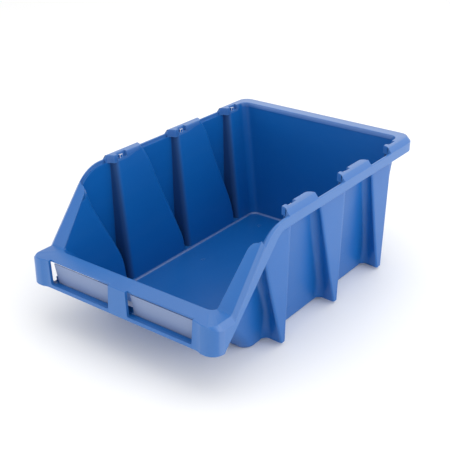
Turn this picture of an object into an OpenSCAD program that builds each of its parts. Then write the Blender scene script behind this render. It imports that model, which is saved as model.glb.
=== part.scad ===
// Stackable storage bin: open-front picking bin with a ribbed side wall, a raised stacking
// rim and two label plates behind windows in the front skirt.
// +X is to the right as seen from the open front, +Y to the rear, +Z up.
// The origin is the middle of the footprint, on the surface that the bin stands on.

/* [Body] */
// Overall width over the rim
bin_w = 305; // [300:1:312]
// Overall length from the front corners to the rear rim
bin_l = 474; // [470:1:480]
// Height of the stacking crowns above the ground
bin_h = 192.5; // [188:0.5:200]
// Thickness of the moulded wall
wall = 2.5; // [2.2:0.1:2.8]
// Thickness of the floor
floor_t = 3; // [2.5:0.1:4]

/* [Side walls] */
// Width over the set-in side panels at the ground
panel_w = 233.4; // [230:0.1:236]
// Outward lean of the panels, sideways per unit of height
panel_lean = 0.115; // [0.11:0.001:0.12]
// Width over the pilasters at the ground
pilaster_w = 290.4; // [288:0.1:292]
// Outward lean of the pilasters, sideways per unit of height
pilaster_lean = 0.018; // [0.016:0.001:0.02]
// Height of the underside of the feet
foot_z = 4; // [2:0.5:6]
// Height at which a pilaster's front edge begins to curve forward
flare_z = 160; // [150:1:165]
// Forward curve of that edge at the top of the wall
flare = 9; // [0:1:10]

/* [Rim] */
// Height of the low rim between the crowns
rim_z = 185.5; // [184:0.5:186]
// Height of the lower edge of the rim band
band_z = 171.5; // [170:0.5:173]
// Thickness of the upper edge of the rim band
band_t = 3; // [2.5:0.1:3.2]
// Width of the bevel between a crown and the rim band
bevel_w = 5.5; // [5:0.1:6]
// Height of the step inside the low rim
step_z = 181; // [180:0.5:182]
// Width of the flat top of the rear crown
rear_shelf = 18; // [16:0.5:19]

/* [Front] */
// Height of the front ledge
ledge_z = 99.5; // [97:0.5:102]
// Depth of the front ledge behind the front face
ledge_d = 28.5; // [26:0.5:30]
// Height of the lower edge of the skirt
skirt_z = 60; // [58:0.5:62]
// Thickness of the skirt
skirt_t = 4; // [3.5:0.1:4.2]
// Angle of the sloping sides above the ground
slope_angle = 50.8; // [50:0.1:52]
// Distance from the front at which the floor begins
floor_front = 111.5; // [109:0.5:114]

/* [Labels] */
// Width of a label window at the top
window_w = 104; // [100:1:105]
// Height of the window's sill
sill_z = 65.5; // [65:0.5:66]
// Width of the post between the windows
post_w = 27; // [26:0.5:28]
// Length of a label plate
plate_w = 103; // [100:0.5:104]
// Thickness of a label plate
plate_t = 1.6; // [1.2:0.1:1.8]
// Backward tilt of the label plates
plate_tilt = 10.8; // [10:0.1:11]

/* [Hidden] */
eps = 0.02;
arc_steps = 6;
half_w = bin_w / 2;
front = -bin_l / 2;
rear = bin_l / 2;
crown_under = bin_h - wall;
rim_drop = bin_h - rim_z;
shelf_edge = half_w - bevel_w;
// pilasters from front to rear: rear edge, length of the foot, forward lean of the front edge
pilaster_rear = [front + 154, front + 283.5, front + 410];
foot_len = [7, 7, 10];
pilaster_fan = [0.33, 0.33, 0.27];
crown_lead = 10;
// the inner end of a groove lies further back low down: rate, and the height where that starts
skew_rate = [0.18, 0.065, 0.09];
skew_top = [135, 170, 174];
pocket_gap = 1.5;
groove_end = 2;
rim_start = front + 137;
rim_r = 20;
turn_r = 45;
groove_r = 12;
corner_r = 14;
// straight run between a rounded corner and the front or rear wall
corner_run = 2;
// the label face stands back from the bulging front corners
label_face = front + 2.5;
ledge_rear = label_face + ledge_d;
slope_foot = ledge_rear + 6;
slope_rise = tan(slope_angle);
rear_face = rear - bevel_w - rear_shelf + wall;
joggle_x = 121;
bulge_x = 130;
front_r = 17;
crease_r = 12;
bevel_z = ledge_z - 7;
skirt_side = front + 17.5;
// stacking notches in the inner edge of each crown
notch_l = 18;
notch_d = 4.5;
notch_h = 7.5;
notch_lead = 12.5;
nub = [3, 5, 5];
cup_t = 1.5;
gap = 0.35;
rail_t = 2;
plate_top = label_face + skirt_t + 0.6;
plate_left = [-112.5, 18];
plate_h = (ledge_z - wall - gap - plate_t - skirt_z) / cos(plate_tilt) - 1;
sill_t = 4;
lip_h = 9;
lip_spans = [[-121, -114], [-8, 11], [122.5, bulge_x]];
sill_back = label_face + skirt_t;
lean_at_sill = (ledge_z - wall - gap - plate_t - sill_z) * tan(plate_tilt);
sill_depth = plate_top - sill_back + lean_at_sill - gap;
lip_y = plate_top + lean_at_sill + plate_t / cos(plate_tilt) + 9 * tan(plate_tilt);
shade_rim = [0.45, 0.56, 0.76];
shade_wall = [0.10, 0.33, 0.62];
shade_floor = [0.05, 0.36, 0.68];
shade_plate = [0.55, 0.61, 0.75];

// ---- outlines ----

// outer faces of the panels and of the pilasters at a height
function panel_x(z) = panel_w / 2 + panel_lean * z;
function pilaster_x(z) = pilaster_w / 2 + pilaster_lean * z;

// front edge of a pilaster, which leans forward with height and curves at the top
function pilaster_front(i, z) = pilaster_rear[i] - foot_len[i] - pilaster_fan[i] * z
    - flare * pow(max(0, z - flare_z) / (bin_h - flare_z), 2);

// outer face of the sloping front wall at a height
function front_face(z) = front + floor_front
    - (floor_front - (ledge_rear - front) + wall) * z / ledge_z;

// top surface of the sloping crowns at a station
function slope_z(y) = ledge_z + (y - slope_foot) * slope_rise;

function arc(centre, r, a0, a1, n = arc_steps) =
    [for (k = [0 : n]) let (a = a0 + (a1 - a0) * k / n) centre + r * [cos(a), sin(a)]];

function unit(v) = v / norm(v);

// mitred normal of a path at one of its points
function path_normal(p, i) = let (
    before = i > 0 ? unit(p[i] - p[i - 1]) : unit(p[1] - p[0]),
    after = i < len(p) - 1 ? unit(p[i + 1] - p[i]) : before,
    mean = unit(before + after)) [mean.y, -mean.x] / (mean * before);

// closed outline of a strip on one side of a path: the path and its copy a thickness inwards
function strip(p, t) = concat(p,
    [for (i = [len(p) - 1 : -1 : 0]) p[i] - t * path_normal(p, i)]);

function raise(outline, z) = [for (q = outline) [q.x, q.y, z]];

// two triangles that fill the four corners a, b, c and d
function quad(a, b, c, d) = [[a, b, c], [a, c, d]];

// Solid through a list of rings with equal, even numbers of points. Each end is closed
// between the first half of its ring and the second half, which runs back beside it.
module skin(rings) {
    n = len(rings[0]);
    last = (len(rings) - 1) * n;
    sides = [for (base = [0 : n : last - n]) for (k = [0 : n - 1]) let (m = (k + 1) % n)
        each quad(base + k, base + n + k, base + n + m, base + m)];
    ends = [for (k = [0 : n / 2 - 2]) each concat(quad(k, k + 1, n - 2 - k, n - 1 - k),
        quad(last + n - 1 - k, last + n - 2 - k, last + k + 1, last + k))];
    polyhedron(points = [for (r = rings) each r], faces = concat(sides, ends));
}

// side profile drawn in Y and Z, between two planes across X
module profile(points, x0, x1) {
    translate([x0, 0, 0]) rotate([90, 0, 90]) linear_extrude(x1 - x0) polygon(points);
}

// ---- side walls ----

wall_levels = [0, 20, 42, 75, 110, 140, flare_z, 170, 180, crown_under];

// where the front and rear walls end and the rounded corners begin
function corner_end(z) = panel_x(z) - corner_r - corner_run;

// how far back the inner end of a groove lies, as far as the pocket of the foot allows
function groove_skew(i, z) = max(0, min(skew_rate[i] * (skew_top[i] - z),
    pilaster_rear[i] - pilaster_front(i, z) - 2 * wall - pocket_gap));

// the groove's line moved back so; its last bit stays square to the face of the pilaster
function skewed(line, i, z) = let (x = panel_x(z), turn = pilaster_x(z) - wall - groove_end)
    [for (q = line) [q.x, q.y + groove_skew(i, z) * max(0, turn - q.x) / (turn - x)]];

// outer line of one panel in plan: along the panel, round the groove, out to the pilaster
function panel_line(i, z) = let (
    x = panel_x(z),
    out = pilaster_x(z) - wall,
    edge = pilaster_front(i + 1, z),
    r = min(groove_r, out - x - groove_end - 0.5),
    start = i < 0 ? concat([[corner_end(z), front_face(z)]],
        arc([x - corner_r, front_face(z) + corner_r], corner_r, -90, 0))
        : [[x, pilaster_rear[i]]])
    concat(start, skewed(concat(arc([x + r, edge - r], r, 180, 90), [[out - groove_end, edge],
        [out, edge]]), i + 1, z));

// outer line of the last panel: along it and round the rear corner
function corner_line(z) = concat([[panel_x(z), pilaster_rear[2]]],
    arc([panel_x(z) - corner_r, rear_face - corner_r], corner_r, 0, 90), [[corner_end(z), rear_face]]);

// what is left under the sloping crown: the ledge, the slope and the level rim
module under_slope(drop, x0, x1) {
    low = drop * sqrt(1 + slope_rise * slope_rise);
    level = bin_h - drop;
    turn = slope_foot + (level - ledge_z + low) / slope_rise;
    bend = slope_foot + (low - drop) / slope_rise;
    profile([[front, -1], [front, ledge_z - drop], [bend, ledge_z - drop], [turn, level],
        [rear, level], [rear, -1]], x0, x1);
}

module panel_wall(i) {
    skin([for (z = wall_levels) raise(strip(panel_line(i, z), wall), z)]);
}

// the feet stand clear of the ground beside the floor
module foot_clearance() {
    translate([panel_w / 2 + wall, front, -1]) cube([half_w, bin_l, foot_z + 1]);
}

module front_panel() {
    difference() {
        intersection() {
            panel_wall(-1);
            under_slope(wall, 0, half_w);
        }
        foot_clearance();
    }
}

module panel(i) {
    difference() {
        panel_wall(i);
        foot_clearance();
        notch(pilaster_rear[i], cup_t);
    }
}

module corner_panel() {
    difference() {
        skin([for (z = [0, crown_under]) raise(strip(corner_line(z), wall), z)]);
        notch(pilaster_rear[2], cup_t);
    }
}

// outer line of a pilaster in plan: its face and the web that steps in to the next panel
function pilaster_line(i, z) = [[pilaster_x(z), pilaster_front(i, z)],
    [pilaster_x(z), pilaster_rear[i]], [panel_x(z) - wall, pilaster_rear[i]]];

// inner line of the groove in front of a pilaster, as far as its first few points
function groove_line(i, z, points) = let (line = panel_line(i - 1, z),
    start = len(line) - arc_steps - 3)
    [for (k = [start : start + points - 1]) line[k] - wall * path_normal(line, k)];

// outline between the groove and the web, which the foot and the floor close
function foot_outline(line, y) = concat(line, [for (k = [len(line) - 1 : -1 : 0]) [line[k].x, y]]);

module pilaster(i) {
    levels = [foot_z, 50, 100, 140, flare_z, 170, step_z];
    web = pilaster_rear[i] - wall;
    intersection() {
        union() {
            skin([for (z = levels) raise(strip(pilaster_line(i, z), wall), z)]);
            skin([for (z = [foot_z, foot_z + wall]) raise(foot_outline(concat(
                groove_line(i, z, arc_steps + 1),
                [[pilaster_x(z) - wall, pilaster_front(i, z) + wall]]), web), z)]);
            skin([for (z = [0, foot_z]) raise(foot_outline(groove_line(i, z, 3), web), z)]);
        }
        under_slope(bin_h - step_z, 0, half_w);
    }
    web_top(i);
}

// the web carries on above the low rim until it meets the crown
module web_top(i) {
    skin([for (z = [step_z, crown_under]) raise([[panel_x(z) - wall, pilaster_rear[i] - wall],
        [pilaster_x(z) - wall, pilaster_rear[i] - wall], [pilaster_x(z) - wall, pilaster_rear[i]],
        [panel_x(z) - wall, pilaster_rear[i]]], z)]);
}

// ---- floor, front and rear ----

module floor_pan() color(shade_floor) {
    skin([for (z = [0, floor_t]) let (x = panel_x(z) - wall, y = front_face(z) + wall,
        r = corner_r - wall, inner = rear_face - wall)
        raise(concat(arc([x - r, y + r], r, -90, 0), arc([x - r, inner - r], r, 0, 90),
            arc([r - x, inner - r], r, 90, 180), arc([r - x, y + r], r, 180, 270)), z)]);
}

module front_wall() color(shade_wall) {
    skin([for (z = [0, ledge_z - wall]) let (x = corner_end(z), y = front_face(z))
        raise([[-x, y], [x, y], [x, y + wall], [-x, y + wall]], z)]);
}

module rear_wall() color(shade_wall) {
    skin([for (z = [0, crown_under]) let (x = corner_end(z))
        raise([[-x, rear_face - wall], [x, rear_face - wall], [x, rear_face], [-x, rear_face]], z)]);
}

// ---- rim ----

// outer line of the rim in plan, from the right slope round the rear to the left slope
function rim_line(inset, from, r) = let (x = half_w - inset, y = rear - inset)
    concat([[x, from]], arc([x - r, y - r], r, 0, 90), arc([r - x, y - r], r, 90, 180),
        [[-x, from]]);

module rim_band() color(shade_rim) {
    low = strip(rim_line(0, rim_start, rim_r), half_w - pilaster_x(band_z));
    high = strip(rim_line(0, rim_start, rim_r), band_t);
    difference() {
        union() {
            translate([0, 0, band_z]) linear_extrude(step_z - band_z) polygon(low);
            translate([0, 0, step_z]) linear_extrude(rim_z - step_z) polygon(high);
        }
        // the lean of the pilasters
        for (side = [0, 1]) mirror([side, 0, 0]) skin([for (z = [band_z - 1, step_z])
            raise([[0, front], [pilaster_x(z), front], [pilaster_x(z), rear - 30],
                [0, rear - 30]], z)]);
    }
}

// the band runs down the slope and widens into the side of the skirt
module slope_rim() {
    level_y = slope_foot + (rim_z - bevel_z) / slope_rise + turn_r * tan(slope_angle / 2);
    top = [for (k = [0 : 5]) let (a = slope_angle * (1 - k / 5))
        [level_y - turn_r * sin(a), rim_z - turn_r * (1 - cos(a))]];
    low_r = 16;
    low = [for (k = [0 : 5]) let (a = slope_angle * k / 5)
        [rim_start - low_r * sin(a), band_z - low_r * (1 - cos(a))]];
    shape = concat([[skirt_side, bevel_z], [slope_foot, bevel_z]], top, [[rim_start, rim_z]], low,
        [[front + 30, skirt_z + 16], [skirt_side, skirt_z]]);
    profile(shape, pilaster_x(step_z), half_w);
}

// ---- crowns ----

// section of a crown in X and Z: flat shelf and bevel, a wall thick
function crown_section(inner, top) = [[inner, top], [shelf_edge, top], [half_w, top - rim_drop],
    [half_w - band_t, top - rim_drop], [shelf_edge - 0.6 * wall, top - wall], [inner, top - wall]];

// inner edge of a crown near its rear end follows the wall round the groove
function crown_inner(i, y) = let (
    x = panel_x(crown_under) - wall,
    r = groove_r + wall - 2,
    start = pilaster_front(i + 1, crown_under) - groove_r)
    y < start ? x : x + r - sqrt(max(0, r * r - pow(y - start, 2)));

// stacking notch, and below it room for the floor of its cup
module notch(y, below = 0) {
    translate([panel_x(bin_h) - wall - 5, y + notch_lead - crown_lead, bin_h - notch_h - below])
        cube([5 + notch_d, notch_l, notch_h + below + 1]);
}

// little cup that closes a notch, with a locating nub on its back
module notch_cup(y) {
    x = panel_x(bin_h) - wall;
    y0 = y + notch_lead - crown_lead;
    translate([x + notch_d, y0, bin_h - notch_h]) cube([cup_t, notch_l, notch_h - wall]);
    translate([x, y0, bin_h - notch_h - cup_t]) cube([notch_d + cup_t, notch_l, cup_t]);
    translate([x + notch_d - nub.x, y0 + notch_l / 2, bin_h - notch_h]) cube(nub);
}

module crown(i) {
    start = pilaster_rear[i] - crown_lead;
    turn = pilaster_front(i + 1, crown_under) - groove_r;
    stations = concat([start, turn], [for (k = [1 : 5]) turn + groove_r * sin(15 * k)]);
    difference() {
        skin([for (y = stations) [for (q = crown_section(crown_inner(i, y), bin_h)) [q.x, y, q.y]]]);
        notch(pilaster_rear[i]);
    }
    end_plate(start);
}

// upright plate that closes the front end of a crown
module end_plate(y) {
    x = panel_x(bin_h) - wall;
    translate([0, y + wall, 0]) rotate([90, 0, 0]) linear_extrude(wall)
        polygon([[x, step_z], [pilaster_x(step_z), step_z], [half_w - band_t, rim_z],
            [shelf_edge - 0.6 * wall, crown_under], [x, crown_under]]);
}

module slope_crown() {
    reach = [for (k = [0 : 4]) 12 * sin(18 * k)];
    knee = slope_foot + 44;
    stations = concat([slope_foot], [for (r = reach) knee + r]);
    drop = wall * sqrt(1 + slope_rise * slope_rise);
    skin([for (y = stations) let (
        top = slope_z(y),
        bend = max(0, y - knee),
        inner = panel_x(top) - wall + 13 - sqrt(169 - bend * bend))
        [[inner, y, top], [shelf_edge, y, top], [half_w, y, top - rim_drop],
            [half_w - band_t, y, top - rim_drop], [shelf_edge - 1, y, top - drop],
            [inner, y, top - drop]]]);
}

module rear_crown() color(shade_rim) {
    start = pilaster_rear[2] - crown_lead;
    x = panel_x(bin_h) - wall;
    r = corner_r - wall;
    inner = rear_face - wall;
    opening = concat([[x, start]], arc([x - r, inner - r], r, 0, 90),
        arc([r - x, inner - r], r, 90, 180), [[-x, start]]);
    back = [for (k = [len(opening) - 1 : -1 : 0]) opening[k]];
    difference() {
        skin([raise(concat(rim_line(0, start, rim_r), back), rim_z),
            raise(concat(rim_line(bevel_w, start, rim_r - bevel_w), back), bin_h)]);
        skin([raise(concat(rim_line(band_t, start - 1, rim_r - band_t), back), rim_z - eps),
            raise(concat(rim_line(bevel_w + 0.6 * wall, start - 1, rim_r - bevel_w - 1.5), back),
                crown_under)]);
        for (side = [0, 1]) mirror([side, 0, 0]) notch(pilaster_rear[2]);
    }
    for (side = [0, 1]) mirror([side, 0, 0]) {
        end_plate(start);
        notch_cup(pilaster_rear[2]);
    }
}

// ---- front ----

// outer line of the skirt in plan, from the right side round to the left
function skirt_line(inset, r) = let (x = half_w - inset, y = front + inset)
    concat([[x, skirt_side]], arc([x - r, y + r], r, 0, -90), [[bulge_x, y], [joggle_x, y + 2.5],
        [-joggle_x, y + 2.5], [-bulge_x, y]], arc([r - x, y + r], r, -90, -180),
        [[-x, skirt_side]]);

module windows(z0, z1) {
    for (x = [-post_w / 2 - window_w, post_w / 2])
        translate([x, label_face - 1, 0]) skin([for (z = [z0, z1]) let (
            in = (z1 - z) / (z1 - z0) * 2)
            [[in, 0, z], [window_w - in, 0, z], [window_w - in, skirt_t + 1, z], [in, skirt_t + 1, z]]]);
}

module label_skirt() color(shade_rim) {
    top = ledge_z - wall;
    difference() {
        translate([0, 0, skirt_z]) linear_extrude(top - skirt_z)
            polygon(strip(skirt_line(0, front_r), -skirt_t));
        windows(sill_z, ledge_z + 1);
        // the sides stop under the bevel
        for (side = [0, 1]) mirror([side, 0, 0])
            translate([half_w - front_r, front - 1, bevel_z]) cube([front_r + 1, 40, 9]);
    }
}

module front_ledge() color(shade_rim) {
    x = panel_x(ledge_z) - wall;
    edge = front + 1.5 + crease_r;
    outer = concat([[shelf_edge, slope_foot]], arc([shelf_edge - crease_r, edge], crease_r, 0, -90),
        [[bulge_x, front], [joggle_x, label_face], [-joggle_x, label_face], [-bulge_x, front]],
        arc([crease_r - shelf_edge, edge], crease_r, -90, -180), [[-shelf_edge, slope_foot]]);
    inner = concat([[-x, slope_foot]], arc([6 - x, ledge_rear + 6], 6, 180, 270),
        arc([x - 6, ledge_rear + 6], 6, 270, 360), [[x, slope_foot]]);
    difference() {
        translate([0, 0, ledge_z - wall]) linear_extrude(wall) polygon(concat(outer, inner));
        windows(sill_z, ledge_z + 1);
    }
    // bevel round each corner, down to the side of the skirt
    for (side = [0, 1]) mirror([side, 0, 0]) skin([
        raise(strip(corner_edge(half_w, front_r, front), band_t), bevel_z),
        raise(strip(corner_edge(shelf_edge, crease_r, front + 1.5), band_t), ledge_z)]);
}

// line round a front corner, from the slope to the front face
function corner_edge(x, r, y) = concat(arc([x - r, y + r], r, -90, 0), [[x, slope_foot]]);

// ---- label plates and their rails ----

// what leans with the label plates: drawn upright in the plane of a plate's front face
module leaning() {
    translate([0, plate_top, ledge_z - wall - gap - plate_t]) rotate([plate_tilt, 0, 0]) children();
}

module label_plate(i) color(shade_plate) {
    leaning() translate([plate_left[i], 0, -plate_h]) cube([plate_w, plate_t, plate_h]);
}

module label_sill() color(shade_wall) {
    translate([-bulge_x, sill_back, sill_z - sill_t]) cube([2 * bulge_x, sill_depth, sill_t]);
}

// the lip behind the plates, on brackets that stand clear of their ends
module label_lip() color(shade_wall) {
    start = sill_back + sill_depth;
    translate([lip_spans[0][0], lip_y, sill_z - sill_t])
        cube([bulge_x - lip_spans[0][0], rail_t, lip_h]);
    for (span = lip_spans)
        translate([span[0], start, sill_z - sill_t]) cube([span[1] - span[0], lip_y - start + eps, sill_t]);
}

// ---- handed parts ----

module right(shade) color(shade) children();
module left(shade) color(shade) mirror([1, 0, 0]) children();

module front_panel_left() left(shade_wall) front_panel();
module front_panel_right() right(shade_wall) front_panel();
module middle_panel_left() left(shade_wall) panel(0);
module middle_panel_right() right(shade_wall) panel(0);
module back_panel_left() left(shade_wall) panel(1);
module back_panel_right() right(shade_wall) panel(1);
module corner_panel_left() left(shade_wall) corner_panel();
module corner_panel_right() right(shade_wall) corner_panel();
module front_pilaster_left() left(shade_wall) pilaster(0);
module front_pilaster_right() right(shade_wall) pilaster(0);
module middle_pilaster_left() left(shade_wall) pilaster(1);
module middle_pilaster_right() right(shade_wall) pilaster(1);
module rear_pilaster_left() left(shade_wall) pilaster(2);
module rear_pilaster_right() right(shade_wall) pilaster(2);
module slope_rim_left() left(shade_rim) slope_rim();
module slope_rim_right() right(shade_rim) slope_rim();
module slope_crown_left() left(shade_rim) slope_crown();
module slope_crown_right() right(shade_rim) slope_crown();
module front_crown_left() left(shade_rim) crown_with_cup(0);
module front_crown_right() right(shade_rim) crown_with_cup(0);
module middle_crown_left() left(shade_rim) crown_with_cup(1);
module middle_crown_right() right(shade_rim) crown_with_cup(1);
module label_plate_left() label_plate(0);
module label_plate_right() label_plate(1);

module crown_with_cup(i) {
    crown(i);
    notch_cup(pilaster_rear[i]);
}

floor_pan();
front_wall();
rear_wall();
front_panel_left();
front_panel_right();
middle_panel_left();
middle_panel_right();
back_panel_left();
back_panel_right();
corner_panel_left();
corner_panel_right();
front_pilaster_left();
front_pilaster_right();
middle_pilaster_left();
middle_pilaster_right();
rear_pilaster_left();
rear_pilaster_right();
rim_band();
slope_rim_left();
slope_rim_right();
slope_crown_left();
slope_crown_right();
front_crown_left();
front_crown_right();
middle_crown_left();
middle_crown_right();
rear_crown();
front_ledge();
label_skirt();
label_sill();
label_lip();
label_plate_left();
label_plate_right();
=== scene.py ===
import math

import bmesh
import bpy
import numpy as np
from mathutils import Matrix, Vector


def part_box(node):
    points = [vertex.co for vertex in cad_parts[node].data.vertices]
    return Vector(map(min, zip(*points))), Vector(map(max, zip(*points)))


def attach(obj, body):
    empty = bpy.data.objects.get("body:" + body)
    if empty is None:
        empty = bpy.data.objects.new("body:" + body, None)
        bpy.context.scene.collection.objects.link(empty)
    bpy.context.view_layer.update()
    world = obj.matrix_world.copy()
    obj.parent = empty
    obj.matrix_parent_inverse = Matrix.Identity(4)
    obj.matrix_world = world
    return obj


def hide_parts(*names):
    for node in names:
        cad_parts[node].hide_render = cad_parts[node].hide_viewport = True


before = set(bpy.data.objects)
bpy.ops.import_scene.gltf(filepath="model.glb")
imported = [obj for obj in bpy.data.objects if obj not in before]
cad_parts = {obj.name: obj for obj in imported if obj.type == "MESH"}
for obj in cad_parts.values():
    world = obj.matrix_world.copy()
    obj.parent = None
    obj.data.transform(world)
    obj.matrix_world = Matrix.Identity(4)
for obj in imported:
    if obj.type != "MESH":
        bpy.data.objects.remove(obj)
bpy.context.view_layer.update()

# ---------------------------------------------------------------------------
# Camera and studio lights: four large soft lights and a white world. The
# floor comes last, under the finished bin.
# ---------------------------------------------------------------------------
MM = 0.001


def aim(thing, at):
    """Turns a camera or a light towards a point."""
    way = Vector(at) - thing.location
    thing.rotation_euler = way.to_track_quat("-Z", "Y").to_euler()


camera = bpy.data.objects.new("camera", bpy.data.cameras.new("camera"))
bpy.context.collection.objects.link(camera)
camera.location = (0.6577, -0.8900, 0.6252)
aim(camera, (0.0, -0.0178, 0.1011))
camera.data.lens = 70.59
camera.data.sensor_width = 36.0
camera.data.clip_start = 0.01
bpy.context.scene.camera = camera


def softbox(name, place, at, size, watts):
    """A rectangular studio light of size (wide, high) in metres."""
    light = bpy.data.lights.new(name, "AREA")
    light.shape = "RECTANGLE"
    light.size, light.size_y = size
    light.energy = watts
    lamp = bpy.data.objects.new(name, light)
    bpy.context.collection.objects.link(lamp)
    lamp.location = place
    aim(lamp, at)


softbox("overhead", (0.15, 0.10, 1.7), (0, 0, 0.1), (1.6, 1.6), 7.0)
softbox("right_bank", (1.7, 0.20, 0.60), (0, 0, 0.1), (1.5, 1.1), 9.4)
softbox("front_left_fill", (-1.15, -1.35, 0.40), (0, -0.1, 0.1), (1.0, 0.7), 4.8)
softbox("rear_bank", (-0.85, 1.8, 0.95), (0, 0, 0.15), (0.95, 0.75), 1.5)

studio = bpy.data.worlds.new("studio")
studio.use_nodes = True
studio.node_tree.nodes["Background"].inputs["Color"].default_value = (1.0, 1.0, 1.0, 1.0)
studio.node_tree.nodes["Background"].inputs["Strength"].default_value = 1.0
bpy.context.scene.world = studio
bpy.context.scene.view_settings.view_transform = "Standard"


# ---------------------------------------------------------------------------
# The moulded body: one injection moulding in blue polypropylene. Its side
# walls step out into three hollow pilasters a side, which end in small feet
# that land on the rim of the bin below.
# ---------------------------------------------------------------------------
front, rear = -237.0, 237.0
half_w, height = 152.5, 192.5
wall = 2.5
foot_z = 4.0
pilaster_rear = (-83.0, 46.5, 173.0)
foot_len = (7.0, 7.0, 10.0)
pilaster_fan = (0.33, 0.33, 0.27)
rear_face = 216.0
ledge_z = 99.5
slope_foot = -200.0
slope_rise = math.tan(math.radians(50.8))
rim_z, step_z = 185.6, 181.0
hook_y = -149.5


def panel_x(z):
    return 116.7 + 0.115 * z


def pilaster_x(z):
    return 145.2 + 0.018 * z


def pilaster_front(i, z):
    curve = 9.0 * (max(0.0, z - 160.0) / 32.5) ** 2
    return pilaster_rear[i] - foot_len[i] - pilaster_fan[i] * z - curve


def groove_skew(i, z):
    """How far back the inner end of a groove lies, as far as the pocket of the foot allows."""
    rate, top = ((0.18, 135.0), (0.065, 170.0), (0.09, 174.0))[i]
    room = max(0.0, pilaster_rear[i] - pilaster_front(i, z) - 2 * wall - 1.5)
    wish = max(0.0, rate * (top - z))
    return wish * room / (wish**4 + room**4 + 1e-6) ** 0.25


def front_face(z):
    return front + 111.5 - 83.0 * z / ledge_z


def slope_z(y):
    return ledge_z + (y - slope_foot) * slope_rise


def turned(y, foot_y, foot, rise, level, radius):
    """Height of a line that climbs from its foot and turns level through an arc."""
    half = math.atan(rise) / 2
    reach = radius * math.tan(half)
    meet = foot_y + (level - foot) / rise
    if y >= meet + reach:
        return level
    if y <= meet - reach * math.cos(2 * half):
        return foot + max(0.0, y - foot_y) * rise
    return level - radius + math.sqrt(radius**2 - (meet + reach - y) ** 2)


def rim_inner_z(y):
    """Top of the narrow rim at its inner edge, down the slope and round the turn."""
    return turned(y, slope_foot, 95.5, 1.24, rim_z, 54.0)


def corner(a, b, c, r, steps):
    """Arc of radius r where the line a-b turns square into the line b-c."""
    a, b, c = (np.array(p, float) for p in (a, b, c))
    u, v = (a - b) / np.linalg.norm(a - b), (c - b) / np.linalg.norm(c - b)
    k = np.linspace(0, math.pi / 2, steps)
    middle = b + r * (u + v)
    return [middle - r * (v * math.cos(t) + u * math.sin(t)) for t in k]


notch_from, notch_to = 2.5, 20.5
notch_sill = 184.9
wall_end = 190.4
toe_run = 6.5


def notch_shares(run):
    """Stations along a panel, two of them close together at the rear end of its notch."""
    k = (notch_to + 0.2 - toe_run) / run
    return k / 2, k - 0.5 / run, k + 0.5 / run, (1 + k) / 2


def wall_line(z, inner):
    """Right half of the wall in plan at a height, from the front centre to the rear centre."""
    t = wall if inner else 0.0
    x0, x1 = panel_x(z) - t, pilaster_x(z) - t
    yf, yr = front_face(z) + t * 1.25, rear_face - t
    turn = 14.0 - t
    line = [(x, yf) for x in np.linspace(0, x0 - turn - 2, 7)]
    line += corner((0, yf), (x0, yf), (x0, rear), turn, 11)
    tags = ["front"] * 7 + ["corner"] * 11
    start = line[-1]
    for i in range(3):
        edge = pilaster_front(i, z) + t
        back = pilaster_rear[i] - t
        room = x1 - x0
        groove = min(12.0 + t, room - 3.2 + t * 0.8)
        arc = corner((x0, edge - 40), (x0, edge), (x1, edge), groove, 11)
        for p in arc:
            p[1] += groove_skew(i, z) * (x1 - p[0]) / room
        shares = np.linspace(0, 1, 12)[1:-1] if i == 0 else notch_shares(arc[0][1] - start[1])
        between = [start + (arc[0] - start) * s for s in shares]
        line += between + arc
        tags += ["panel%d" % i] * len(between) + ["groove%d" % i] * 11
        nose = corner((x0, edge), (x1, edge), (x1, rear), 2.6 - 0.8 * t, 5)
        heel = corner((x1, edge), (x1, back), (x0, back), 1.2 if not inner else 0.5, 4)
        face = [nose[-1] + (heel[0] - nose[-1]) * s for s in np.linspace(0, 1, 12)[1:-1]]
        toe = corner((x1, back), (x0, back), (x0, rear), min(toe_run + t, room - 0.8), 8)
        line += nose + face + heel + toe
        tags += ["nose%d" % i] * 5 + ["face%d" % i] * 10 + ["heel%d" % i] * 4 + ["toe%d" % i] * 8
        start = toe[-1]
    arc = corner((x0, 0), (x0, yr), (0, yr), turn, 11)
    between = [start + (arc[0] - start) * s for s in notch_shares(arc[0][1] - start[1])]
    line += between + arc + [(x, yr) for x in np.linspace(x0 - turn - 2, 0, 7)]
    tags += ["panel3"] * len(between) + ["back"] * 18
    return np.array([(p[0], p[1]) for p in line]), tags


heights = np.linspace(0, height + 1.5, 389)
outer_wall = np.array([wall_line(z, False)[0] for z in heights])
inner_wall = np.array([wall_line(z, True)[0] for z in heights])
wall_tags = wall_line(50, False)[1]
stations = len(wall_tags)


def on_wall(table, station, z):
    """Point of a wall face at one station and height."""
    x = np.interp(z, heights, table[:, station, 0])
    y = np.interp(z, heights, table[:, station, 1])
    return np.array((x, y, z))


def wall_top(tag, y):
    """Height at which the wall ends under the rim, the crowns, the slope or the ledge."""
    if tag == "front" or (y < slope_foot and tag in ("corner", "panel0")):
        return ledge_z - 1.2
    if tag in ("corner", "panel0", "groove0", "nose0", "face0", "heel0"):
        if y < hook_y - 2:
            return min(slope_z(y) - 1.6, step_z)
        return min(rim_inner_z(y) - 4.6, step_z)
    if tag[:4] in ("nose", "face", "heel"):
        return step_z
    in_notch = any(-1.5 < y - r < notch_to + 0.2 for r in pilaster_rear)
    return notch_sill if in_notch and tag[:5] in ("toe0", "toe1", "toe2", "panel") else wall_end


tops = []
for s, tag in enumerate(wall_tags):
    limit = [wall_top(tag, y) for y in outer_wall[:, s, 1]]
    above = np.nonzero(heights >= limit)[0]
    tops.append(float(limit[above[0]]) if len(above) else wall_end)
tops = np.array(tops)


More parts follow.
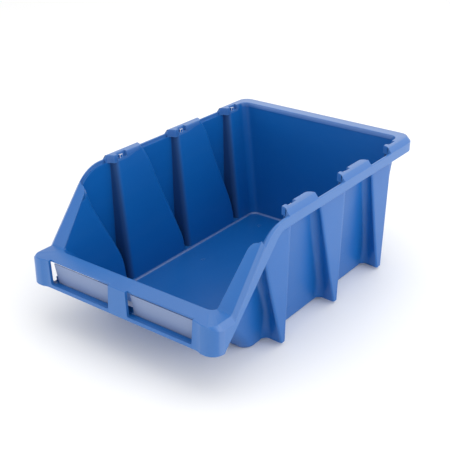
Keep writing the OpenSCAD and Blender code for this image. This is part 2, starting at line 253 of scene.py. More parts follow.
def under_feet(inner, z, inset, y_from):
    """Wall line below the feet, where it runs straight along the floor."""
    t = wall if inner else 0.0
    line = wall_line(z, inner)[0].copy()
    level = wall_line(y_from, inner)[0]
    x0 = panel_x(z) - t - inset
    turn = 14.0 - t
    for s, tag in enumerate(wall_tags):
        x, y = line[s]
        if tag == "front":
            line[s] = (x, y + inset)
        elif tag in ("corner", "back"):
            centre = panel_x(z) - t - turn
            y_mid = front_face(z) + t * 1.25 + turn if tag == "corner" else rear_face - t - turn
            if x > centre:
                k = (turn - inset) / turn
                line[s] = (centre + (x - centre) * k, y_mid + (y - y_mid) * k)
            else:
                line[s] = (x, y + (inset if tag == "corner" else -inset))
        else:
            line[s] = (x0, level[s][1])
    side = [s for s, tag in enumerate(wall_tags) if tag not in ("front", "corner", "back")]
    line[side, 1] = np.maximum.accumulate(line[side, 1])
    return line


def full_ring(half, z):
    """Closed ring in metres from the right half: the left half mirrors it."""
    z = np.broadcast_to(z, (len(half),))
    right = np.column_stack((half, z))
    left = right[-2:0:-1] * (-1, 1, 1)
    return np.vstack((right, left)) * MM


rings = []
for a in np.linspace(0, math.pi / 2, 4):
    r = 3.0
    z = r * (1 - math.cos(a))
    rings.append(full_ring(under_feet(False, z, r * (1 - math.sin(a)), foot_z), z))
rings.append(full_ring(under_feet(False, foot_z, 0, foot_z), foot_z))
levels = np.concatenate(((0.0, 0.004), np.linspace(0.02, 0.96, 22), (0.985, 1.0)))


def wall_rings(table, low, shares):
    made = []
    for v in shares:
        zs = low + v * (tops - low)
        pts = np.array([on_wall(table, s, zs[s]) for s in range(stations)])
        made.append(full_ring(pts[:, :2], zs))
    return made


rings += wall_rings(outer_wall, foot_z, levels)
rings += wall_rings(inner_wall, foot_z + wall, levels[::-1])
for a in np.linspace(0, math.pi / 2, 6):
    r = foot_z + wall - 3.0
    rings.append(full_ring(under_feet(True, foot_z + wall, r * (1 - math.cos(a)), foot_z + wall),
                           3.0 + r * (1 - math.sin(a))))


def outwards(cut):
    """Turns every face of a closed shell outwards, which a positive volume confirms."""
    bmesh.ops.recalc_face_normals(cut, faces=cut.faces)
    if cut.calc_volume(signed=True) < 0:
        bmesh.ops.reverse_faces(cut, faces=cut.faces)


def new_piece(name, points, faces, material, sharp=32.0):
    """Makes a closed mesh piece at the origin with its normals outwards."""
    mesh = bpy.data.meshes.new(name)
    mesh.from_pydata([tuple(p) for p in points], [], faces)
    weld = 0.00001
    cut = bmesh.new()
    cut.from_mesh(mesh)
    bmesh.ops.remove_doubles(cut, verts=cut.verts, dist=weld)
    bmesh.ops.dissolve_degenerate(cut, edges=cut.edges, dist=weld)
    outwards(cut)
    cut.to_mesh(mesh)
    cut.free()
    mesh.shade_smooth()
    mesh.set_sharp_from_angle(angle=math.radians(sharp))
    mesh.materials.append(material)
    piece = bpy.data.objects.new(name, mesh)
    bpy.context.collection.objects.link(piece)
    return piece


def strips(n, m):
    """Four-cornered faces between m rings that have n points each."""
    faces = []
    for j in range(m - 1):
        for i in range(n):
            h = (i + 1) % n
            faces.append((j * n + i, j * n + h, (j + 1) * n + h, (j + 1) * n + i))
    return faces


def loft(sections):
    """Points and faces of a closed skin through sections with equal numbers of points."""
    n, m = len(sections[0]), len(sections)
    faces = strips(n, m)
    faces.append(tuple(range(n))[::-1])
    faces.append(tuple((m - 1) * n + i for i in range(n)))
    return [p for s in sections for p in s], faces


def both_sides(half):
    """The sections of the right half, then the same ones mirrored on the left."""
    return half + [[(-x, y, z) for x, y, z in s] for s in half[-2::-1]]


def tub_mesh(rings):
    """Skin through the rings, with the two ends filled in strips across the bin."""
    n, m = len(rings[0]), len(rings)
    faces = strips(n, m)
    for base in (0, (m - 1) * n):
        for i in range(stations - 1):
            left = [(n - k) % n for k in (i, i + 1)]
            ids = list(dict.fromkeys([base + i, base + i + 1, base + left[1], base + left[0]]))
            if len(ids) > 2:
                faces.append(tuple(ids if base else ids[::-1]))
    return [p for r in rings for p in r], faces


class Net:
    """Writes a material's nodes: node() makes any node, and Val wraps its output."""

    def __init__(self, name):
        self.material = bpy.data.materials.new(name)
        self.material.use_nodes = True
        self.tree = self.material.node_tree
        self.shader = self.tree.nodes["Principled BSDF"]

    def node(self, kind, settings=None, out=0, **sockets):
        made = self.tree.nodes.new(kind)
        for key, value in (settings or {}).items():
            setattr(made, key, value)
        for key, value in sockets.items():
            self.feed(made.inputs[key.replace("_", " ")], value)
        return Val(self, made.outputs[out])

    def feed(self, socket, value):
        if isinstance(value, Val):
            self.tree.links.new(value.socket, socket)
        else:
            socket.default_value = value


class Val:
    """A node output that can be used in arithmetic."""

    def __init__(self, net, socket):
        self.net, self.socket = net, socket

    def math(self, op, *others):
        made = self.net.tree.nodes.new("ShaderNodeMath")
        made.operation = op
        for socket, value in zip(made.inputs, (self,) + others):
            self.net.feed(socket, value)
        return Val(self.net, made.outputs[0])

    def __add__(self, other):
        return self.math("ADD", other)

    __radd__ = __add__

    def __mul__(self, other):
        return self.math("MULTIPLY", other)

    __rmul__ = __mul__

    def __sub__(self, other):
        return self.math("SUBTRACT", other)

    def over(self, low, high):
        """0 below low, 1 above high and smooth between."""
        return self.net.node("ShaderNodeMapRange", {"interpolation_type": "SMOOTHSTEP"},
                             Value=self, From_Min=low, From_Max=high)


def mix(net, share, a, b):
    """Colour a turning into colour b."""
    made = net.tree.nodes.new("ShaderNodeMix")
    made.data_type = "RGBA"
    for index, value in ((0, share), (6, a), (7, b)):
        net.feed(made.inputs[index], value)
    return Val(net, made.outputs[2])


# The colours that the two films of rub_edges turn the plastic towards: a pale painted sheen and a dark
# painted shade.
PAINTED_SHEEN_COLOUR = (0.330, 0.390, 0.560, 1)
PAINTED_SHADE_COLOUR = (0.001, 0.030, 0.115, 1)


def moulded_plastic(name, base, pale, deep, gloss, grain):
    """Injection-moulded polypropylene: faint flow clouds, a fine eroded texture from the
    mould, rubbed edges that have gone pale, a few dull scuffs, and two films of painted
    light from rub_edges: a pale painted sheen and a dark painted shade."""
    net = Net(name)
    place = net.node("ShaderNodeTexCoord", out=3)
    clouds = net.node("ShaderNodeTexNoise", Vector=place, Scale=9.0, Detail=3.0, Roughness=0.5)
    flow = net.node("ShaderNodeTexNoise", Vector=net.node(
        "ShaderNodeMapping", Vector=place, Scale=(34.0, 5.0, 60.0)), Scale=1.0, Detail=2.0)
    fine = net.node("ShaderNodeTexNoise", Vector=place, Scale=900.0, Detail=2.0, Roughness=0.6)
    dust = net.node("ShaderNodeTexNoise", Vector=place, Scale=260.0, Detail=1.0)
    hairs = net.node("ShaderNodeTexNoise", Vector=net.node(
        "ShaderNodeMapping", Vector=place, Rotation=(0.0, 0.0, 0.7), Scale=(900.0, 26.0, 300.0)),
        Scale=1.0, Detail=1.0)
    rubbed = net.node("ShaderNodeAttribute", {"attribute_name": "edge_rub"}, out=2)
    painted_sheen = net.node("ShaderNodeAttribute", {"attribute_name": "painted_sheen"}, out=2)
    painted_shade = net.node("ShaderNodeAttribute", {"attribute_name": "painted_shade"}, out=2)
    scuffs = hairs.over(0.70, 0.78) * clouds.over(0.48, 0.62)
    specks = dust.over(0.735, 0.77)
    wear = (rubbed * (0.35 + 0.65 * fine)).math("MINIMUM", 1.0)
    colour = mix(net, clouds.over(0.3, 0.7) * 0.45, base, deep)
    colour = mix(net, flow.over(0.45, 0.8) * 0.025, colour, pale)
    colour = mix(net, wear * 0.26, colour, pale)
    # Painted shade: the step faces are turned dark navy where this film lies.
    colour = mix(net, painted_shade * 0.75, colour, PAINTED_SHADE_COLOUR)
    # Painted sheen: a pale grey film that stands in for reflections of the bright room.
    colour = mix(net, painted_sheen * (0.32 + 0.08 * clouds + 0.06 * fine), colour, PAINTED_SHEEN_COLOUR)
    colour = mix(net, scuffs * 0.05 + specks * 0.07, colour, pale)
    net.feed(net.shader.inputs["Base Color"], colour)
    rough = gloss + clouds * 0.08 + fine * 0.06 + scuffs * 0.12 - wear * 0.05 + painted_shade * 0.35
    net.feed(net.shader.inputs["Roughness"], rough)
    height_map = fine * grain + clouds * 0.06 - scuffs * 0.05
    bump = net.node("ShaderNodeBump", Height=height_map, Strength=0.3, Distance=0.0003)
    net.feed(net.shader.inputs["Normal"], bump)
    net.shader.inputs["IOR"].default_value = 1.52
    net.shader.inputs["Specular IOR Level"].default_value = 0.50
    return net.material


blue = moulded_plastic("blue_polypropylene", (0.0022, 0.113, 0.400, 1), (0.10, 0.25, 0.52, 1),
                       (0.0013, 0.099, 0.364, 1), 0.27, 0.30)


def rub_edges(piece, strength=1.0, painted_sheen=None, painted_shade=None):
    """Stores how sharply the surface turns outwards at each point, for the rubbed edges, and
    two films of painted light: a painted sheen, where it is paler and greyer, and a painted
    shade, where it is darker and less glossy. Each of the two is a function of a point in
    millimetres and the normal there."""
    mesh = piece.data
    cut = bmesh.new()
    cut.from_mesh(mesh)
    values = np.zeros(len(cut.verts))
    for v in cut.verts:
        turn = [e.calc_face_angle_signed(0.0) for e in v.link_edges if len(e.link_faces) == 2]
        values[v.index] = max(0.0, max(turn, default=0.0) - 0.12) * 1.4 * strength
    films = {"painted_sheen": painted_sheen, "painted_shade": painted_shade}
    amounts = {name: [rule(v.co / MM, v.normal) for v in cut.verts]
               for name, rule in films.items() if rule}
    cut.free()
    for name, amount in amounts.items():
        film = mesh.attributes.new(name, "FLOAT", "POINT")
        film.data.foreach_set("value", np.array(amount, np.float32))
    layer = mesh.attributes.new("edge_rub", "FLOAT", "POINT")
    layer.data.foreach_set("value", np.clip(values, 0, 1).astype(np.float32))


points, faces = tub_mesh(rings)
tub = new_piece("bin_body", points, faces, blue, sharp=38.0)


def edge_painted_highlight(p, n):
    """The rounded edge of the floor and the sills of the notches get the strongest painted sheen, a pale
    painted highlight along them.
    """
    return 0.95 if n.z > 0.1 and (3.4 < p.z < 5.8 or abs(p.z - notch_sill) < 0.4) else 0.0


def step_painted_shade(p, n):
    """The inner face of each step behind a pilaster gets painted shade: it is darker and duller than the
    panels.
    """
    if p.z > 5.8 and any(-4 < p.y - back < 9 for back in pilaster_rear):
        return min(1.0, max(0.0, (-n.y - 0.28) / 0.5))
    return 0.0


# The body gets a painted highlight along the floor's edge and painted shade on its steps.
rub_edges(tub, strength=0.25, painted_sheen=edge_painted_highlight, painted_shade=step_painted_shade)
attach(tub, "bin")
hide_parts("floor_pan", "front_wall", "rear_wall",
            *(n + side for n in ("front_panel", "middle_panel", "back_panel", "corner_panel",
                                 "front_pilaster", "middle_pilaster", "rear_pilaster")
              for side in ("_left", "_right")))


# ---------------------------------------------------------------------------
# Rim band: the outer lip of the same moulding. It hangs round the two sides
# and the rear, runs down both slopes and widens into the skirt.
# ---------------------------------------------------------------------------
rim_corner = 20.0
skirt_end = -219.5


def rim_outer_z(y):
    """Height of the rim at its outer edge, at the foot of its bevel."""
    return turned(y, -200.5, 92.5, 1.225, 185.2, 54.0)


def rim_under_z(y):
    """Height of the lower edge of the rim band, which widens into the side of the skirt."""
    return turned(y, skirt_end, 61.0, 1.01, 171.5, 22.0)


def rim_outline(inset):
    """Right half of the rim in plan, from the skirt to the rear centre."""
    x, y, r = half_w - inset, rear - inset, max(1.0, rim_corner - inset)
    ys = np.concatenate((np.linspace(skirt_end, -100, 34), np.linspace(-96, rear - rim_corner, 22)))
    line = [(x, v) for v in ys] + corner((x, 0), (x, y), (0, y), r, 11)[1:]
    return line + [(v, y) for v in np.linspace(x - r, 0, 7)[1:]]


def band_sections():
    """Sections of the rim band right round, from one end of the skirt to the other."""
    lines = {inset: rim_outline(inset) for inset in (0, 0.5, 2.4, 2.9, 3.1, 4.3)}
    half = []
    for k in range(len(lines[0])):
        y = min(lines[0][k][1], rear - rim_corner)
        zi, zo, zu = rim_inner_z(y), rim_outer_z(y), rim_under_z(y)
        if y < slope_foot:
            zi, zo = 93.5, 92.4
        half.append([(*lines[i][k], z) for i, z in (
            (4.3, zi - 4.9), (3.1, zi - 4.8), (2.9, zi - 4.4), (2.9, zi - 0.5), (2.4, zi),
            (0.5, zo + 0.25), (0, zo - 0.5), (0, zu + 0.7), (0.5, zu), (4.3, zu))])
    return [[tuple(c * MM for c in p) for p in s] for s in both_sides(half)]


points, faces = loft(band_sections())
band = new_piece("rim_lip", points, faces, blue, sharp=30.0)
# The whole rim band gets a little painted sheen.
rub_edges(band, strength=1.8, painted_sheen=lambda p, n: 0.2)
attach(band, "bin")
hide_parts("rim_band", "slope_rim_left", "slope_rim_right")


# ---------------------------------------------------------------------------
# Stacking crowns: raised shelves on the rim over each panel, where the feet
# of the next bin land. Each has a notch in its inner edge, and the rear crown,
# which runs round both rear corners, has one on each side.
# ---------------------------------------------------------------------------
crease_x, crease_y = 146.8, rear - 5.7
lead_x = 146.4
lip_gap = 0.06  # keeps the inner lip out of the plane of the wall behind it


def crown_section(inner, crease, outer, low, lead, notch):
    """One section of a crown: inner lip, flat shelf, bevel, outer lip and hollow underside."""
    inner, crease, outer = (np.array(p, float) for p in (inner, crease, outer))
    out = crease - inner
    out /= np.linalg.norm(out)
    side = (outer - crease) / np.linalg.norm(outer - crease)
    deep = 4.5 if notch else -lip_gap
    lean = 0.0 if lead else 0.115
    behind = outer - side * 2.8
    under = 181.2 if lead else 190.0
    low_z = 181.0 if lead else low
    sill_low, sill_high = max(notch_sill, low_z + 0.1), max(185.1, low_z + 0.3)

    def at(p, z):
        return (p[0] * MM, p[1] * MM, z * MM)

    def lip(z, move=0.0):
        return inner + out * (move - lean * (height - z))

    return [
        at(lip(low_z, -lip_gap), low_z), at(lip(sill_low, -lip_gap), sill_low),
        at(lip(sill_high, deep), sill_high), at(lip(191.2, deep), 191.2),
        at(lip(192.1, deep + 0.3), 192.1), at(inner + out * (deep + 1.0), height),
        at(crease - side * 0.7, height),
        at(crease + side * 0.4, 192.2), at(outer - side * 0.6, 186.2), at(outer - side * 0.04, 185.4),
        at(outer - side * 0.04, 180.4), at(behind, 180.4),
        at(behind, 187.4 if not lead else 181.0), at(crease - side * 0.3, under),
        at(lip(190.0, max(2.9, deep + 1.6)), under), at(lip(low_z, 2.9 if not notch else 6.0), low_z),
    ]


def crown_painted_sheen(p, n):
    """The crowns get a painted sheen, a little stronger on their upward shelves and bevels than on their
    edges.
    """
    return 0.3 if p.z > rim_z and n.z > 0.3 else 0.2


def crown_lead(i):
    """Inner edge at the front end of a crown, which curves out to the rim."""
    y = pilaster_rear[i] - 10.0
    x = panel_x(height) - wall
    return [(lead_x - (lead_x - x) * u**1.9, y + 6.5 * u) for u in np.linspace(0, 1, 9)]


def crown_run(i, last):
    """Sections of a crown from its front end, past its notch, to one last section."""
    x = panel_x(height) - wall
    start = pilaster_rear[i] - 10.0
    n0, n1 = pilaster_rear[i] + notch_from, pilaster_rear[i] + notch_to
    sections = [crown_section(p, (crease_x, p[1]), (half_w, p[1]), 181.0, True, False)
                for p in crown_lead(i)]
    for y in (start + 7.5, start + 9.5, n0 - 0.4, n0, n0 + 0.3, n0 + 6, n0 + 12, n1 - 0.3, n1,
              n1 + 0.4, last):
        low = 186.0 if y > n1 + 1 else 182.0
        sections.append(crown_section((x, y), (crease_x, y), (half_w, y), low, y < n0, n0 < y < n1))
    return sections


def side_crown(i):
    """Sections of a crown over a side panel, from front to rear."""
    tail = [on_wall(inner_wall, s, 191.0) for s, tag in enumerate(wall_tags)
            if tag == "groove%d" % (i + 1)]
    sections = crown_run(i, tail[0][1] - 6)
    for p in tail:
        if p[0] < 145.4:
            sections.append(crown_section(p[:2], (crease_x, p[1]), (half_w, p[1]), 186.0, False, False))
    y = tail[-1][1] + 0.6
    sections.append(crown_section((145.6, y), (crease_x, y), (half_w, y), 182.0, True, False))
    return sections


def mirrored(sections):
    """The same sections on the other side, each with its points in reverse order."""
    return [[(-x, y, z) for x, y, z in s][::-1] for s in sections]


for i, word in ((0, "front"), (1, "middle")):
    for side in ("right", "left"):
        sections = side_crown(i)
        points, faces = loft(sections if side == "right" else mirrored(sections))
        crown = new_piece("crown_%s_%s" % (word, side), points, faces, blue, sharp=28.0)
        rub_edges(crown, strength=1.6, painted_sheen=crown_painted_sheen)
        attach(crown, "bin")
        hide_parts("%s_crown_%s" % (word, side))


def rear_crown_half():
    """Sections of the rear crown from its right front end to the rear centre."""
    x, r_in = panel_x(height) - wall, 11.5
    y_in = rear_face - wall
    sections = crown_run(2, y_in - r_in - 2)
    ins = corner((x, 0), (x, y_in), (0, y_in), r_in, 11)
    mids = corner((crease_x, 0), (crease_x, crease_y), (0, crease_y), 14.3, 11)
    outs = corner((half_w, 0), (half_w, rear), (0, rear), rim_corner, 11)
    for a, b, c in zip(ins, mids, outs):
        sections.append(crown_section(a, b, c, 186.0, False, False))
    for share in np.linspace(0, 1, 8)[1:]:
        k = 1 - share
        sections.append(crown_section(((x - r_in) * k, y_in), (132.5 * k, crease_y),
                                      (132.5 * k, rear), 186.0, False, False))
    return sections


points, faces = loft(both_sides(rear_crown_half()))
crown = new_piece("crown_rear", points, faces, blue, sharp=28.0)
rub_edges(crown, strength=1.6, painted_sheen=crown_painted_sheen)
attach(crown, "bin")
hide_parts("rear_crown")


# ---------------------------------------------------------------------------
# Locating nubs: one small block stands in each stacking notch. They are part
# of the moulding, and six of them repeat along the two rims.
# ---------------------------------------------------------------------------
def repeat_tree(name, material):
    """Geometry nodes that put one shape, a rounded block or a disc, on each given point."""
    tree = bpy.data.node_groups.new(name, "GeometryNodeTree")
    face = tree.interface
    face.new_socket("Places", in_out="INPUT", socket_type="NodeSocketGeometry")
    for word, value in (("Wide", 0.003), ("Long", 0.005), ("High", 0.005)):
        face.new_socket(word, in_out="INPUT", socket_type="NodeSocketFloat").default_value = value
    face.new_socket("Round", in_out="INPUT", socket_type="NodeSocketBool").default_value = False
    face.new_socket("Pieces", in_out="OUTPUT", socket_type="NodeSocketGeometry")
    given, result = tree.nodes.new("NodeGroupInput"), tree.nodes.new("NodeGroupOutput")

    def node(kind, **sockets):
        made = tree.nodes.new(kind)
        for key, value in sockets.items():
            socket = made.inputs[key.replace("_", " ")]
            if isinstance(value, bpy.types.NodeSocket):
                tree.links.new(value, socket)
            else:
                socket.default_value = value
        return made

    size = node("ShaderNodeCombineXYZ", X=given.outputs["Wide"], Y=given.outputs["Long"],
                Z=given.outputs["High"])
    block = node("GeometryNodeMeshCube", Size=size.outputs[0])
    disc = node("GeometryNodeMeshCylinder", Vertices=20, Radius=given.outputs["Wide"],
                Depth=given.outputs["High"])
    shape = tree.nodes.new("GeometryNodeSwitch")
    shape.input_type = "GEOMETRY"
    tree.links.new(given.outputs["Round"], shape.inputs["Switch"])
    tree.links.new(block.outputs["Mesh"], shape.inputs["False"])
    tree.links.new(disc.outputs["Mesh"], shape.inputs["True"])
    put = node("GeometryNodeInstanceOnPoints", Points=given.outputs["Places"],
               Instance=shape.outputs[0])
    real = node("GeometryNodeRealizeInstances", Geometry=put.outputs["Instances"])
    paint = node("GeometryNodeSetMaterial", Geometry=real.outputs["Geometry"], Material=material)
    tree.links.new(paint.outputs["Geometry"], result.inputs["Pieces"])
    return tree


def repeated(name, tree, places, soft, **sizes):
    """Runs the nodes on points given in millimetres and keeps the result as a plain mesh."""
    mesh = bpy.data.meshes.new(name + "_places")
    mesh.from_pydata([[c * MM for c in p] for p in places], [], [])
    seed = bpy.data.objects.new(name + "_seed", mesh)
    bpy.context.collection.objects.link(seed)
    nodes = seed.modifiers.new("repeat", "NODES")
    nodes.node_group = tree
    names = {item.name: item.identifier for item in tree.interface.items_tree}
    for word, value in sizes.items():
        nodes[names[word]] = value
    bpy.context.view_layer.update()
    result = bpy.data.meshes.new_from_object(
        seed.evaluated_get(bpy.context.evaluated_depsgraph_get()))
    bpy.data.objects.remove(seed)
    cut = bmesh.new()
    cut.from_mesh(result)
    sharp = [e for e in cut.edges if e.calc_face_angle(0.0) > 0.8]
    bmesh.ops.bevel(cut, geom=sharp, offset=soft * MM, segments=2, profile=0.6, affect="EDGES")
    bmesh.ops.recalc_face_normals(cut, faces=cut.faces)
    cut.to_mesh(result)
    cut.free()
    result.name = name
    result.shade_smooth()
    result.set_sharp_from_angle(angle=math.radians(35))
    piece = bpy.data.objects.new(name, result)
    bpy.context.collection.objects.link(piece)
    return piece


repeat = repeat_tree("repeat_on_points", blue)
nub_x, nub_y, nub_z = 139.2, (notch_from + notch_to) / 2, 187.2
nub_places = [(side * nub_x, r + nub_y, nub_z) for side in (-1, 1) for r in pilaster_rear]
nubs = repeated("notch_nubs", repeat, nub_places, 0.5, Wide=0.0034, Long=0.0052, High=0.0050)
# The tops of the nubs get a painted highlight.
rub_edges(nubs, strength=0.4, painted_sheen=lambda p, n: 0.8 if n.z > 0.7 else 0.0)
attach(nubs, "bin")


# ---------------------------------------------------------------------------
# Ejector marks: nine faint round pads, such as a mould's pins leave. They
# stand on the floor inside the bin.
# ---------------------------------------------------------------------------
pads = [(x, y, 3.0) for x in (-78.0, 0.0, 78.0) for y in (-96.0, 30.0, 178.0)]
marks = repeated("ejector_marks", repeat, pads, 0.04, Wide=0.0030, High=0.00024, Round=True)
rub_edges(marks)
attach(marks, "bin")


# ---------------------------------------------------------------------------
# Front rail: the two sloping crowns and the ledge between them, with the
# skirt that hangs from the ledge. Two label windows are cut in the skirt.
# ---------------------------------------------------------------------------
skirt_z, skirt_t = 60.0, 4.0
ledge_edge = 99.1
label_face = front + 2.5
rail_crease = 146.9
lip_drop = 5.0


def rail_section(inner, inner_z, crease, outer, outer_z, bottom, thick):
    """One section of the rail: inner lip, top, crease, bevel, outer face and underside."""
    inner, crease, outer = (np.array(p, float) for p in (inner, crease, outer))
    out = crease - inner
    out /= np.linalg.norm(out)
    side = outer - crease
    side = side / np.linalg.norm(side) if np.linalg.norm(side) > 0.5 else out
    bevel = 1.0 if outer_z < inner_z - 1.5 else 0.0
    drop = inner_z - outer_z

    def at(p, z):
        return (p[0] * MM, p[1] * MM, z * MM)

    return [
        at(inner - out * 0.03, inner_z - lip_drop), at(inner - out * 0.03, inner_z - 1.3),
        at(inner + out * 0.35, inner_z - 0.4), at(inner + out * 1.1, inner_z),
        at(crease - side * (0.6 + 0.2 * bevel), inner_z),
        at(crease + side * 0.35 * bevel, inner_z - 0.3 * bevel),
        at(outer - side * 0.55, outer_z + 0.12 * drop * bevel),
        at(outer, outer_z - 0.5), at(outer, bottom + 0.5), at(outer - side * 0.5, bottom),
        at(outer - side * (thick - 0.4), bottom), at(outer - side * thick, bottom + 0.4),
        at(outer - side * thick, min(inner_z - 2.6, outer_z - 1.2)),
        at(inner + out * 2.7, inner_z - 2.6),
        at(inner + out * 2.7, inner_z - lip_drop),
    ]


def slope_side():
    """Sections down the right slope, from the hook to the ledge."""
    sections, path = [], []
    for s, tag in enumerate(wall_tags):
        if tag not in ("corner", "panel0", "groove0"):
            continue
        line = inner_wall[:, s, :]
        gap = heights - np.array([slope_z(y) for y in line[:, 1]])
        above = np.nonzero(gap >= 0)[0]
        if not len(above):
            continue
        z = heights[above[0]]
        x, y = on_wall(inner_wall, s, z)[:2]
        if y > slope_foot + 0.8 and x < 145.2:
            path.append((x, y, slope_z(y)))
    path.sort(key=lambda p: -p[1])
    tip = path[0]
    for share in (0.96, 0.6, 0.3):
        path.insert(0, (tip[0] + (146.2 - tip[0]) * share, tip[1] + 1.6 * share, 0))
    path = sorted(path, key=lambda p: -p[1])
    for x, y, _ in path:
        z = slope_z(y)
        x = min(x, 145.9)
        sections.append(rail_section((x, y), z, (rail_crease, y), (half_w - 0.04, y),
                                     rim_outer_z(y) + 0.02, rim_outer_z(y) - 5, 2.9))
    return sections


def ledge_side():
    """Sections from the slope round the right corner to the middle of the front."""
    sections = []
    z = ledge_z
    ys = [-201.0, -206.0, -212.0, -218.0]
    x_in = panel_x(z) - wall
    y_in = front_face(z) + wall * 1.25
    bend = [p for p in corner((x_in, 0), (x_in, y_in), (0, y_in), 11.5, 60) if p[1] < -199.6]
    bend = [bend[int(k)] for k in np.linspace(0, len(bend) - 1, 16)]
    ring = bend[4:]
    outs = corner((half_w, 0), (half_w, front), (0, front), 17.0, 12)
    mids = corner((rail_crease, 0), (rail_crease, front + 1.0), (0, front + 1.0), 12.5, 12)
    for p, y in zip(bend, ys):
        sections.append(rail_section(p, z, (rail_crease, y),
                                     (half_w - (0.04 if y > -219 else 0), y), 92.4,
                                     rim_under_z(y) + 0.1, skirt_t))
    for k, (a, b, c) in enumerate(zip(ring, mids, outs)):
        rest = max(0.0, 1.0 - k / 9.0)
        sections.append(rail_section(a, z, b, c, ledge_edge - 6.7 * math.sin(rest * math.pi / 2),
                                     skirt_z, skirt_t))
    x0 = ring[-1][0]
    for x, y, share in ((133.5, front, 0.97), (131, front, 0.95), (129.6, front + 0.25, 0.94),
                        (128.4, front + 0.8, 0.93), (124.5, front + 1.9, 0.90),
                        (122.6, label_face - 0.2, 0.88), (121, label_face, 0.86), (118.5, label_face, 0.84),
                        (60, label_face, 0.5), (13.5, label_face, 0.12), (0, label_face, 0.0)):
        sections.append(rail_section((x0 * share, y_in), z, (x, y + 1.0), (x, y), ledge_edge,
                                     skirt_z, skirt_t))
    return sections


points, faces = loft(both_sides(slope_side() + ledge_side()))
rail = new_piece("front_rail", points, faces, blue, sharp=28.0)

window_edges = ((-118.0, -13.7), (13.5, 117.4))


def window_cutter(x0, x1):
    """Prism the shape of a window, a little narrower at its rounded sill."""
    sill, top = 65.5, 103.0
    outline = [(x0 + 2.0 + 2.6, sill)] + [(x1 - 2.0 - 2.6, sill)]
    outline += [(x1 - 4.6 + 2.6 * math.sin(a), sill + 2.6 - 2.6 * math.cos(a))
                for a in np.linspace(0.3, math.pi / 2, 5)]
    outline += [(x1, top), (x0, top)]
    outline += [(x0 + 4.6 - 2.6 * math.cos(a), sill + 2.6 - 2.6 * math.sin(a))
                for a in np.linspace(0, math.pi / 2 - 0.3, 5)]
    near = [(x * MM, (label_face - 3) * MM, z * MM) for x, z in outline]
    far = [(x * MM, (label_face + skirt_t + 0.4) * MM, z * MM) for x, z in outline]
    return loft([near, far])


for x0, x1 in window_edges:
    points, faces = window_cutter(x0, x1)
    cutter = new_piece("cutter", points, faces, blue)
    cut = rail.modifiers.new("window", "BOOLEAN")
    cut.operation, cut.solver, cut.object = "DIFFERENCE", "EXACT", cutter
    bpy.context.view_layer.update()
    done = bpy.data.meshes.new_from_object(rail.evaluated_get(bpy.context.evaluated_depsgraph_get()))
    rail.modifiers.clear()
    rail.data = done
    bpy.data.objects.remove(cutter)
# The edges of the two windows are eased, front and back.
cut = bmesh.new()
cut.from_mesh(rail.data)
bmesh.ops.remove_doubles(cut, verts=cut.verts, dist=0.00002)
rims = [e for e in cut.edges if e.calc_face_angle(0.0) > 0.9 and all(
    abs(v.co.x) < 0.1185 and -0.2376 < v.co.y < -0.2295 and v.co.z > 0.065 for v in e.verts)]
bmesh.ops.bevel(cut, geom=rims, offset=0.0005, segments=2, profile=0.6, affect="EDGES",
                clamp_overlap=True)
outwards(cut)
cut.to_mesh(rail.data)
cut.free()
rail.data.shade_smooth()
rail.data.set_sharp_from_angle(angle=math.radians(16))


def front_painted_sheen(p, n):
    """Painted sheen: the outer bevels of the corners and slopes are paler and greyer, and the skirt's face
    a little.
    """
    if p.y < -229.0:
        return 0.08 if abs(n.z) < 0.8 else 0.1
    return 0.4 if abs(p.x) > 146.95 else 0.0


rub_edges(rail, strength=1.4, painted_sheen=front_painted_sheen)
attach(rail, "bin")
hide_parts("front_ledge", "label_skirt", "slope_crown_left", "slope_crown_right")


# ---------------------------------------------------------------------------
# Sill and fence: a shelf moulded across the back of the skirt and a low fence
# behind it, joined by three brackets. The plates pass through the gap between.
# ---------------------------------------------------------------------------
def soft_bar(name, low, high, soft, material):
    """A bar with rounded edges between two corners, in millimetres."""
    cut = bmesh.new()
    bmesh.ops.create_cube(cut, size=1.0)
    for v in cut.verts:
        v.co = [((a + b) / 2 + c * (b - a)) * MM for a, b, c in zip(low, high, v.co)]
    bmesh.ops.bevel(cut, geom=cut.edges[:], offset=soft * MM, segments=2, profile=0.6, affect="EDGES")
    bmesh.ops.recalc_face_normals(cut, faces=cut.faces)
    mesh = bpy.data.meshes.new(name)
    cut.to_mesh(mesh)
    cut.free()
    mesh.shade_smooth()
    mesh.set_sharp_from_angle(angle=math.radians(40))
    mesh.materials.append(material)
    bar = bpy.data.objects.new(name, mesh)
    bpy.context.collection.objects.link(bar)
    return bar


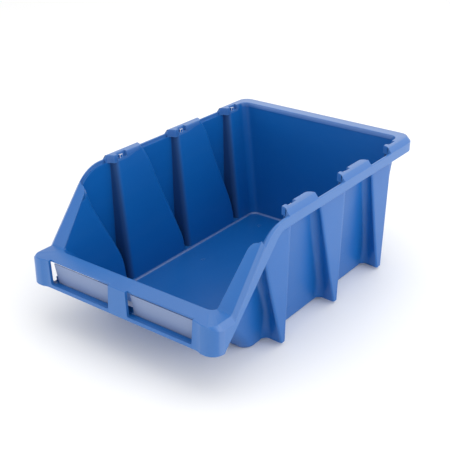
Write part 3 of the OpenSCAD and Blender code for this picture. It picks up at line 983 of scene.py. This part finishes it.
sill_box, lip_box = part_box("label_sill"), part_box("label_lip")
sill_mm = [[c / MM for c in p] for p in sill_box]
lip_mm = [[c / MM for c in p] for p in lip_box]
sill = soft_bar("sill", (sill_mm[0][0], sill_mm[0][1] - 0.3, sill_mm[0][2]), sill_mm[1], 0.5, blue)
lip = soft_bar("sill_fence", (lip_mm[0][0], lip_mm[1][1] - 2.0, lip_mm[0][2]), lip_mm[1], 0.6, blue)
for piece in (sill, lip):
    rub_edges(piece)
    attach(piece, "bin")
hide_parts("label_sill")
brackets = [soft_bar("sill_bracket_%d" % k, (a, sill_mm[1][1] - 0.4, sill_mm[0][2] + 0.2),
                     (b, lip_mm[1][1] - 1.0, sill_mm[1][2] - 0.2), 0.4, blue)
            for k, (a, b) in enumerate(((-121.0, -114.0), (-8.0, 11.0), (122.5, 130.0)))]
for piece in brackets:
    rub_edges(piece)
    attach(piece, "bin")
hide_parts("label_lip")


# ---------------------------------------------------------------------------
# Label plates: two thin grey-blue plates behind the windows. They lean with
# their tops towards the skirt, and slide down in their own plane.
# ---------------------------------------------------------------------------
grey = moulded_plastic("label_plate_plastic", (0.178, 0.242, 0.410, 1), (0.42, 0.48, 0.62, 1),
                       (0.162, 0.221, 0.378, 1), 0.42, 0.22)
for side in ("left", "right"):
    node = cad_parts["label_plate_" + side]
    plate_mesh = node.data.copy()
    cut = bmesh.new()
    cut.from_mesh(plate_mesh)
    bmesh.ops.remove_doubles(cut, verts=cut.verts, dist=0.00001)
    bmesh.ops.dissolve_limit(cut, angle_limit=0.02, verts=cut.verts, edges=cut.edges)
    bmesh.ops.bevel(cut, geom=cut.edges[:], offset=0.0004, segments=2, profile=0.6, affect="EDGES")
    bmesh.ops.recalc_face_normals(cut, faces=cut.faces)
    cut.to_mesh(plate_mesh)
    cut.free()
    plate_mesh.materials.clear()
    plate_mesh.materials.append(grey)
    plate_mesh.shade_smooth()
    plate_mesh.set_sharp_from_angle(angle=math.radians(40))
    plate = bpy.data.objects.new("label_card_" + side, plate_mesh)
    bpy.context.collection.objects.link(plate)
    rub_edges(plate)
    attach(plate, "label_plate_" + side)
    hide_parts("label_plate_" + side)


# ---------------------------------------------------------------------------
# Floor of the studio, just under the bin.
# ---------------------------------------------------------------------------
FLOOR_GAP = 0.0003

sweep = bpy.data.meshes.new("studio_floor")
corners = ((-1, -1), (1, -1), (1, 1), (-1, 1))
sweep.from_pydata([(6 * a, 6 * b, -FLOOR_GAP) for a, b in corners], [], [(0, 1, 2, 3)])
pale = bpy.data.materials.new("pale_floor")
pale.use_nodes = True
matt = pale.node_tree.nodes["Principled BSDF"].inputs
matt["Base Color"].default_value = (0.92, 0.92, 0.92, 1)
matt["Roughness"].default_value = 0.9
sweep.materials.append(pale)
studio_floor = bpy.data.objects.new("studio_floor", sweep)
bpy.context.collection.objects.link(studio_floor)
